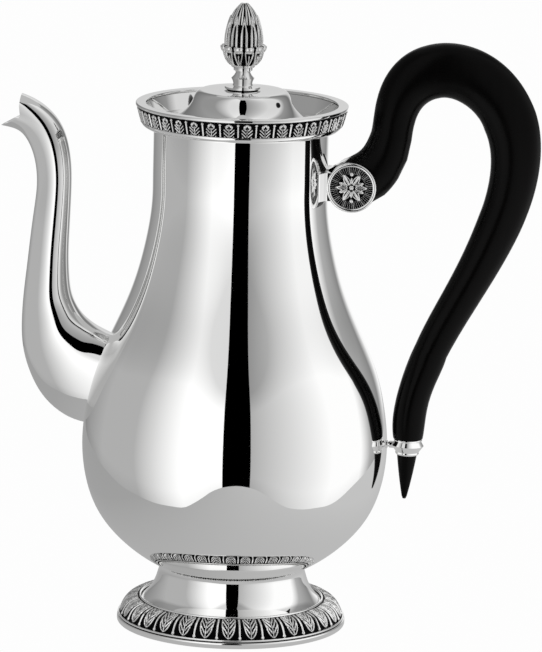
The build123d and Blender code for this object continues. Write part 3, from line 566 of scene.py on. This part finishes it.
calyx_face = cubic(above_lid([(4.2, 9.9), (6.6, 12.5), (7.9, 16.0), (8.6, 18.3)]), 9)
calyx_back = above_lid([(7.4, 18.6), (6.8, 16.3), (3.9, 12.4), (3.6, 9.9)])
calyx_patch = patch("calyx_patch", calyx_face, calyx_back, calyx_leaf, LEAVES, 28, 1.2)
piece("finial_cup", repeat_round("finial_cup", calyx_patch, LEAVES, STAMPED_PAINTED_SHADE), STAMPED_PAINTED_SHADE, "lid", "chased_silver",
      "finial_calyx")
bud_face = cubic(above_lid([(5.0, 14.0), (6.7, 17.0), (7.1, 20.2), (6.2, 26.2), (3.9, 32.1), (1.2, 35.25)]), 9)
bud_back = above_lid([(0.3, 35.4), (0.3, 14.0)])
bud_patch = patch("bud_patch", bud_face, bud_back, bud_leaf, LEAVES, 28, 1.3)
bud_ring = repeat_round("finial_head", bud_patch, LEAVES, STAMPED_PAINTED_SHADE)
bud_ring.transform(Matrix.Rotation(math.pi / LEAVES, 4, "Z"))
piece("finial_head", bud_ring, STAMPED_PAINTED_SHADE, "lid", "chased_silver", "finial_bud")

# ---- spout ----------------------------------------------------------------------------
# A swan-neck tube of silver sheet, wide where it is soldered to the belly and cut to a beak
# at its mouth. Each station gives two opposite points of an oval and its half width.
SPOUT_STATIONS = [
    ((-58.0, 81.2), (-48.5, 118.4), 12.8), ((-69.6, 83.8), (-57.5, 122.4), 13.0),
    ((-79.2, 90.8), (-61.4, 124.8), 13.0), ((-86.0, 101.8), (-64.6, 127.6), 12.6),
    ((-89.4, 113.5), (-67.3, 131.6), 11.9), ((-90.0, 124.0), (-69.3, 136.6), 10.8),
    ((-89.4, 135.5), (-70.3, 143.6), 9.9), ((-88.2, 147.3), (-70.7, 152.6), 8.9),
    ((-86.9, 160.0), (-70.5, 163.2), 8.1), ((-85.6, 171.0), (-70.2, 172.8), 7.5),
    ((-84.6, 181.5), (-70.0, 182.5), 7.2), ((-85.4, 190.6), (-70.6, 193.0), 7.2),
    ((-87.4, 197.0), (-73.0, 202.8), 7.3), ((-90.2, 201.6), (-77.4, 210.2), 7.3),
    ((-94.8, 204.4), (-85.6, 216.6), 7.3), ((-100.0, 205.4), (-93.0, 219.4), 7.3),
    ((-105.0, 206.6), (-100.0, 221.4), 7.3),
]
BEAK = [(-91.4, 218.9), (-91.6, 214.8), (-90.9, 209.9), (-100.2, 205.2)]
CUT_HEIGHT, CUT_REACH, CUT_HALF = 240.0, -130.0, 20.0


def swept(stations, wall, around=64, steps=5):
    """closed tube solid through oval sections given by opposite points and a half width"""
    rows = cubic([(*outer, *inner, half) for outer, inner, half in stations], steps)
    form = bmesh.new()
    rings = []
    for ox, oz, ix, iz, half in rows:
        middle = Vector(((ox + ix) / 2, 0.0, (oz + iz) / 2))
        across = Vector((ix - ox, 0.0, iz - oz))
        reach, across = across.length / 2 - wall, across.normalized()
        turns = [2 * math.pi * step / around for step in range(around)]
        rings.append([form.verts.new((middle + across * reach * math.cos(a)
                                      + Vector((0, 1, 0)) * (half - wall) * math.sin(a)) * MM) for a in turns])
    for low, high in zip(rings[:-1], rings[1:]):
        for step in range(around):
            after = (step + 1) % around
            form.faces.new((low[step], low[after], high[after], high[step]))
    for ring_verts in (rings[0], rings[-1]):
        middle = form.verts.new(sum((v.co for v in ring_verts), Vector()) / around)
        for step in range(around):
            form.faces.new((ring_verts[step], ring_verts[(step + 1) % around], middle))
    bmesh.ops.recalc_face_normals(form, faces=form.faces)
    mesh = bpy.data.meshes.new("swept")
    form.to_mesh(mesh)
    form.free()
    mesh.shade_smooth()
    return mesh


def cut(mesh, *others):
    """the mesh less the others, as a new mesh"""
    holder = bpy.data.objects.new("cutting", mesh)
    bpy.context.scene.collection.objects.link(holder)
    tools = []
    for other in others:
        tool = bpy.data.objects.new("cutter", other)
        bpy.context.scene.collection.objects.link(tool)
        tools.append(tool)
        modifier = holder.modifiers.new("cut", "BOOLEAN")
        modifier.operation, modifier.object, modifier.solver = "DIFFERENCE", tool, "EXACT"
    bpy.context.view_layer.update()
    result = bpy.data.meshes.new_from_object(holder.evaluated_get(bpy.context.evaluated_depsgraph_get()))
    for made in (holder, *tools):
        bpy.data.objects.remove(made)
    result.shade_smooth()
    result.set_sharp_from_angle(angle=math.radians(32.0))
    return result


def slab(outline, half):
    """a flat prism of an outline in the XZ plane"""
    form = bmesh.new()
    sides = [[form.verts.new((x * MM, y * MM, z * MM)) for x, z in outline] for y in (-half, half)]
    form.faces.new(sides[0])
    form.faces.new(list(reversed(sides[1])))
    for step in range(len(outline)):
        after = (step + 1) % len(outline)
        form.faces.new((sides[0][after], sides[0][step], sides[1][step], sides[1][after]))
    bmesh.ops.recalc_face_normals(form, faces=form.faces)
    mesh = bpy.data.meshes.new("slab")
    form.to_mesh(mesh)
    form.free()
    return mesh


slope = (BEAK[3][1] - BEAK[2][1]) / (BEAK[3][0] - BEAK[2][0])
cut_corner = (CUT_REACH, BEAK[2][1] + slope * (CUT_REACH - BEAK[2][0]))
beak_cut = slab([(BEAK[0][0], CUT_HEIGHT), *BEAK[:3], cut_corner, (CUT_REACH, CUT_HEIGHT)], CUT_HALF)
core = lathe("core", [*body_outer, (NECK[0], NECK_TOP), (0.0, NECK_TOP)], 256)
spout_mesh = cut(swept(SPOUT_STATIONS, 0.0), core, beak_cut, swept(SPOUT_STATIONS, SHEET))
piece("spout_tube", spout_mesh, SILVER, "pot", "polished_silver", "spout")

# ---- handle ---------------------------------------------------------------------------
# One piece of ebonised hardwood, riveted between the ears of a silver clasp and held by a
# pinned strap at its back. A silver ring, a turned bar to the belly and a wooden tip end it.
def black_lacquered_wood(name):
    """black wood with a faint grain that runs up and down"""
    material, shader, marks = finish(name)
    nodes, links = material.node_tree.nodes, material.node_tree.links
    where, stretch = nodes.new("ShaderNodeTexCoord"), nodes.new("ShaderNodeMapping")
    stretch.inputs["Scale"].default_value = (420.0, 420.0, 35.0)
    links.new(where.outputs["Object"], stretch.inputs["Vector"])
    grain = nodes.new("ShaderNodeTexNoise")
    grain.inputs["Scale"].default_value = 1.0
    grain.inputs["Detail"].default_value = 5.0
    links.new(stretch.outputs["Vector"], grain.inputs["Vector"])
    tint = nodes.new("ShaderNodeMix")
    tint.data_type = "RGBA"
    tint.inputs["A"].default_value = (0.0006, 0.0005, 0.0005, 1.0)
    tint.inputs["B"].default_value = (0.0022, 0.0019, 0.0018, 1.0)
    links.new(grain.outputs["Fac"], tint.inputs["Factor"])
    links.new(tint.outputs["Result"], shader.inputs["Base Color"])
    marks.inputs["Low"].default_value = 0.22
    marks.inputs["High"].default_value = 0.32
    links.new(marks.outputs["Roughness"], shader.inputs["Roughness"])
    bump = nodes.new("ShaderNodeBump")
    bump.inputs["Strength"].default_value = 0.08
    bump.inputs["Distance"].default_value = 0.0002
    links.new(grain.outputs["Fac"], bump.inputs["Height"])
    links.new(bump.outputs["Normal"], shader.inputs["Normal"])
    shader.inputs["Specular IOR Level"].default_value = 0.07
    return material


def own_shape(material, *nodes):
    """gives a finish to nodes that are shown in their own CAD shape"""
    for node in nodes:
        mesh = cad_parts[node].data
        mesh.materials.clear()
        mesh.materials.append(material)


WOOD = black_lacquered_wood("ebonised_wood")
own_shape(WOOD, "handle_grip", "handle_tip")
own_shape(SILVER, "neck_clasp", "handle_strap", "strap_pin", "handle_ring", "ring_link")

# ---- medallions -------------------------------------------------------------------------
# Each ear of the clasp carries a stamped medallion inside a plain rounded rim: an eight-part
# flower on a hatched ground with painted shade in its hollows, covering the ends of the cross pin.
CLASP = (46.7, 187.0)
MEDAL_RADIUS, RIM_WIDTH, EAR_FACE = 8.7, 1.5, 9.0


def petal(x, z, angle, start, length, width):
    """a pointed leaf along a direction, with a groove down its middle"""
    along = x * math.cos(angle) + z * math.sin(angle) - start
    across = abs(-x * math.sin(angle) + z * math.cos(angle))
    if not 0 < along < length:
        return 0.0
    half = width * math.sin(math.pi * (along / length) ** 0.8) ** 0.8
    return ease(0.0, 0.25, half - across) * (0.55 + 0.45 * ease(0.0, 0.3, across))


def flower(x, z):
    """height of the medallion's relief at a place from its centre"""
    r, angle = math.hypot(x, z), math.atan2(z, x)
    level = 0.56 * ease(-0.2, 0.7, math.sin(60 * angle)) * ease(5.3, 5.9, r)
    for turn in (57, 123, 237, 303):
        level = max(level, petal(x, z, math.radians(turn), 1.2, 5.3, 1.45))
    for turn in (22, 158, 202, 338):
        level = max(level, 0.95 * petal(x, z, math.radians(turn), 1.7, 4.0, 1.0))
    for turn in (0, 180):
        level = max(level, petal(x, z, math.radians(turn), 1.4, 5.2, 1.15))
    for turn in (90, 270):
        tip = math.sin(math.radians(turn))
        level = max(level, ridge(math.hypot(x, z - 5.5 * tip), 0.85) ** 0.5,
                    0.9 * petal(x, z, math.radians(turn), 1.3, 3.4, 0.6))
    boss = ridge(r, 1.15) ** 0.5 * (0.8 + 0.2 * math.cos(6 * angle))
    return max(level, 1.1 * boss)


def medallion(name, side):
    """relief disc and rounded rim as one closed piece on one face of the clasp"""
    form, levels = bmesh.new(), []
    spokes, hoops = 168, 44
    sink, depth = EAR_FACE - 0.55, 0.75
    profile = [(MEDAL_RADIUS * step / hoops, None) for step in range(1, hoops + 1)]
    rim_middle = MEDAL_RADIUS + RIM_WIDTH / 2
    profile += [(rim_middle - RIM_WIDTH / 2 * math.cos(a), EAR_FACE - 0.1 + 0.5 * math.sin(a))
                for a in (math.radians(22.5 * step) for step in range(9))]
    profile += [(MEDAL_RADIUS + RIM_WIDTH - 0.02, EAR_FACE - 0.6), (MEDAL_RADIUS * 0.5, EAR_FACE - 0.7)]
    centre = form.verts.new((CLASP[0] * MM, side * (sink + depth) * MM, CLASP[1] * MM))
    levels.append(1.0)
    rings = []
    for radius, fixed in profile:
        row = []
        for step in range(spokes):
            angle = 2 * math.pi * step / spokes
            x, z = radius * math.cos(angle), radius * math.sin(angle)
            level = flower(x, z) if fixed is None else 1.0
            y = sink + depth * level if fixed is None else fixed
            row.append(form.verts.new(((CLASP[0] + x) * MM, side * y * MM, (CLASP[1] + z) * MM)))
            levels.append(level)
        rings.append(row)
    for step in range(spokes):
        after = (step + 1) % spokes
        form.faces.new((centre, rings[0][step], rings[0][after]))
        for low, high in zip(rings[:-1], rings[1:]):
            form.faces.new((low[step], high[step], high[after], low[after]))
    form.faces.new(rings[-1])
    bmesh.ops.recalc_face_normals(form, faces=form.faces)
    mesh = bpy.data.meshes.new(name)
    form.to_mesh(mesh)
    form.free()
    # the relief heights are also the mask for the stamped material's painted shade
    mesh.attributes.new("relief", "FLOAT", "POINT").data.foreach_set("value", levels)
    mesh.shade_smooth()
    return mesh


piece("medallion_front", medallion("medallion_front", -1), STAMPED_PAINTED_SHADE, "pot", "chased_silver", "rosette_front")
piece("medallion_back", medallion("medallion_back", 1), STAMPED_PAINTED_SHADE, "pot", "chased_silver", "rosette_back")

# ---- hidden fasteners -------------------------------------------------------------------
# Turned brass, seen only from inside or apart: the rivet through the ears and the wood, the
# stud through ring and tip, and the rod that holds the finial, with its washer and nut.
BRASS = polished_metal("turned_brass", (0.72, 0.55, 0.28), 0.15, 0.3, 0.1)
own_shape(BRASS, "clasp_pin", "tip_stud", "finial_stud", "finial_washer", "finial_nut")

# ---- studio ---------------------------------------------------------------------------
# The pot stands on a white table in a tent of white card that glows unevenly, with a dark
# slit in front of it. The silver shows the tent; the camera looks straight through it.
def glow_material(name, seen_by_camera, seen_in_silver):
    """light of one strength to the camera and of another, by attribute, to everything else"""
    material = bpy.data.materials.new(name)
    material.use_nodes = True
    nodes, links = material.node_tree.nodes, material.node_tree.links
    nodes.clear()
    path, level = nodes.new("ShaderNodeLightPath"), nodes.new("ShaderNodeAttribute")
    level.attribute_name = "glow"
    plain, lit = nodes.new("ShaderNodeEmission"), nodes.new("ShaderNodeEmission")
    plain.inputs["Strength"].default_value = seen_by_camera
    scaled = nodes.new("ShaderNodeMath")
    scaled.operation = "MULTIPLY"
    scaled.inputs[1].default_value = seen_in_silver
    links.new(level.outputs["Fac"], scaled.inputs[0])
    links.new(scaled.outputs[0], lit.inputs["Strength"])
    choice, out = nodes.new("ShaderNodeMixShader"), nodes.new("ShaderNodeOutputMaterial")
    links.new(path.outputs["Is Camera Ray"], choice.inputs["Fac"])
    links.new(lit.outputs[0], choice.inputs[1])
    links.new(plain.outputs[0], choice.inputs[2])
    links.new(choice.outputs[0], out.inputs["Surface"])
    return material


def staged(name, rows, glow, material):
    """an open grid of points with a glow for each, as a new object in the scene"""
    form, levels = bmesh.new(), []
    made = []
    for row, row_glow in zip(rows, glow):
        made.append([form.verts.new(point) for point in row])
        levels.extend(row_glow)
    for low, high in zip(made[:-1], made[1:]):
        for step in range(len(low) - 1):
            form.faces.new((low[step], low[step + 1], high[step + 1], high[step]))
    mesh = bpy.data.meshes.new(name)
    form.to_mesh(mesh)
    form.free()
    mesh.attributes.new("glow", "FLOAT", "POINT").data.foreach_set("value", levels)
    mesh.materials.append(material)
    card = bpy.data.objects.new(name, mesh)
    bpy.context.scene.collection.objects.link(card)
    return card


# The card stands far off behind, close at both sides and a little back round the slit: its
# distance from the axis in millimetres, by bearing in degrees from straight ahead of the
# pot towards the handle.
TENT_PLAN = [(-180, 600), (-150, 500), (-120, 400), (-105, 300), (-80, 200), (-50, 150), (-20, 140), (0, 270),
             (18, 270), (35, 160), (50, 140), (80, 150), (95, 200), (120, 300), (150, 500), (180, 600)]
# It glows white behind, is dim at the back corners, grey at the spout's side and white again
# towards the slit, and past the slit goes from grey to white and back.
TENT_GLOW = [(-180, 1.0), (-165, 0.95), (-150, 0.25), (-100, 0.45), (-60, 0.45), (-45, 0.7), (-35, 0.9),
             (-25, 1.1), (-0.6, 1.1), (-0.5, 0.0), (17.6, 0.0), (17.7, 0.45), (40, 0.7), (70, 1.05),
             (105, 1.05), (120, 0.45), (150, 0.25), (165, 0.95), (180, 1.0)]
# It is brightest up to the belly's shoulder: share of the glow by height in millimetres.
TENT_HEIGHTS = [(0, 0.9), (30, 1.0), (160, 1.0), (215, 0.68), (300, 0.66), (450, 0.7), (800, 0.8)]
bearings = sorted({*range(-180, 181, 3), *(place for place, _ in TENT_GLOW)})
plan = np.mean([np.interp(np.array(bearings) + shift, *zip(*TENT_PLAN), period=360)
                for shift in (-8, -4, 0, 4, 8)], axis=0) * MM
around = np.interp(bearings, *zip(*TENT_GLOW))
tent_rows, tent_glow = [], []
for height, share in TENT_HEIGHTS:
    tent_rows.append([(r * math.sin(math.radians(a)), -r * math.cos(math.radians(a)), height * MM)
                      for a, r in zip(bearings, plan)])
    tent_glow.append([value * share for value in around])
tent = staged("tent", tent_rows, tent_glow, glow_material("tent_card", 1.0, 1.0))
tent.visible_camera = False

TABLE_REACH = [-3.0, -0.3, -0.15, 0.0, 0.15, 0.3, 3.0]
table_rows = [[(x, y, 0.0) for x in TABLE_REACH] for y in TABLE_REACH]
table_glow = [[0.36 + 0.22 * ease(-0.2, 0.2, x) for x in TABLE_REACH] for _ in TABLE_REACH]
staged("table", table_rows, table_glow, glow_material("table_top", 0.985, 1.0))

world = bpy.data.worlds.new("studio")
bpy.context.scene.world = world
world.use_nodes = True
sky_nodes, sky_links = world.node_tree.nodes, world.node_tree.links
sky_path, sky_level = sky_nodes.new("ShaderNodeLightPath"), sky_nodes.new("ShaderNodeMapRange")
sky_level.inputs["To Min"].default_value = 0.5
sky_level.inputs["To Max"].default_value = 1.0
sky_links.new(sky_path.outputs["Is Camera Ray"], sky_level.inputs["Value"])
sky_links.new(sky_level.outputs["Result"], sky_nodes["Background"].inputs["Strength"])
sky_nodes["Background"].inputs["Color"].default_value = (1.0, 1.0, 1.0, 1.0)
bpy.context.scene.view_settings.view_transform = "Standard"
